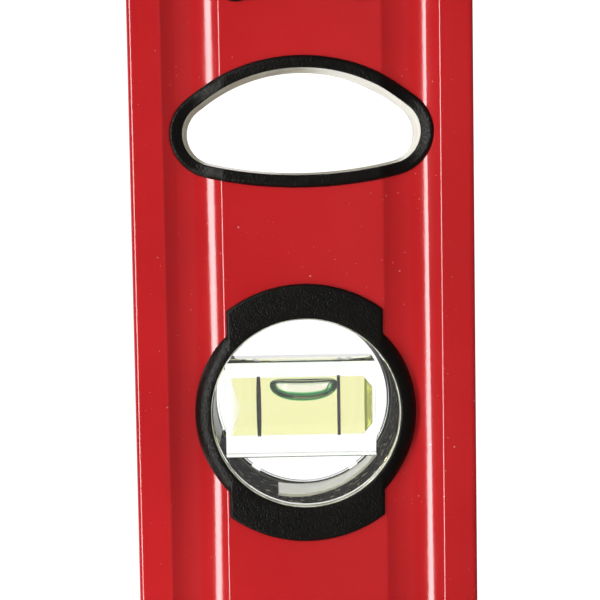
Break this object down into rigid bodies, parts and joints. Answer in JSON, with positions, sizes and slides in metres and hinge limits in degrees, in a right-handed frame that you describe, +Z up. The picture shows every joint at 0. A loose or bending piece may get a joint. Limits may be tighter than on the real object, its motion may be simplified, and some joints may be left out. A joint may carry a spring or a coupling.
{
  "type": "spirit level",
  "caption": "Box-section carpenter's spirit level with a centre vial, a round plumb vial near each end, hand-holes and half-moon hanging holes.",
  "frame": {"origin": "middle of the bottom working face", "axes": "+X along the level, -Y is the front face, +Z up through the top working face"},
  "size_m": [0.61, 0.024, 0.06],
  "materials": {
    "red_powder_coat": "glossy powder coat on extruded aluminium",
    "cap_plastic": "fine-textured moulded plastic",
    "black_plastic": "fine-textured moulded plastic",
    "clear_lens": "clear polished plastic",
    "clear_acrylic": "clear cast acrylic",
    "vial_liquid": "yellow-green liquid",
    "bubble_air": "air bubble",
    "black_line": "printed ring",
    "vial_stopper": "clear yellow-green plastic",
    "cream_shim": "pale moulded plastic"
  },
  "bodies": {
    "level": {"beam": "red_powder_coat", "centre_back_frame": "black_plastic", "centre_front_frame": "black_plastic", "centre_graduation_lines": "black_line", "centre_liquid": "vial_liquid", "centre_top_window": "clear_lens", "centre_vial_block": "clear_acrylic", "centre_vial_stopper": "vial_stopper", "left_end_cap": "cap_plastic", "left_half_moon_back_liner": "black_plastic", "left_half_moon_front_liner": "black_plastic", "left_hand_hole_back_grip": "black_plastic", "left_hand_hole_front_grip": "black_plastic", "left_plumb_back_bezel": "black_plastic", "left_plumb_back_lens": "clear_lens", "left_plumb_front_bezel": "black_plastic", "left_plumb_front_lens": "clear_lens", "left_plumb_graduation_lines": "black_line", "left_plumb_liquid": "vial_liquid", "left_plumb_locking_shim": "cream_shim", "left_plumb_vial_block": "clear_acrylic", "left_plumb_vial_stopper": "vial_stopper", "right_end_cap": "cap_plastic", "right_half_moon_back_liner": "black_plastic", "right_half_moon_front_liner": "black_plastic", "right_hand_hole_back_grip": "black_plastic", "right_hand_hole_front_grip": "black_plastic", "right_plumb_back_bezel": "black_plastic", "right_plumb_back_lens": "clear_lens", "right_plumb_front_bezel": "black_plastic", "right_plumb_front_lens": "clear_lens", "right_plumb_graduation_lines": "black_line", "right_plumb_liquid": "vial_liquid", "right_plumb_locking_shim": "cream_shim", "right_plumb_vial_block": "clear_acrylic", "right_plumb_vial_stopper": "vial_stopper"},
    "left_bubble": {"left_plumb_bubble": "bubble_air"},
    "right_bubble": {"right_plumb_bubble": "bubble_air"},
    "middle_bubble": {"centre_bubble": "bubble_air"}
  },
  "joints": [
    {"name": "left_plumb_bubble_slide", "type": "slide", "parent": "level", "child": "left_bubble", "axis": [0, 0, 1], "range_m": [-0.0044, 0.0046], "stiffness_N_per_m": 10},
    {"name": "right_plumb_bubble_slide", "type": "slide", "parent": "level", "child": "right_bubble", "axis": [0, 0, -1], "range_m": [-0.0044, 0.0046], "stiffness_N_per_m": 10},
    {"name": "centre_bubble_slide", "type": "slide", "parent": "level", "child": "middle_bubble", "axis": [1, 0, 0], "range_m": [-0.009, 0.009], "stiffness_N_per_m": 10}
  ]
}
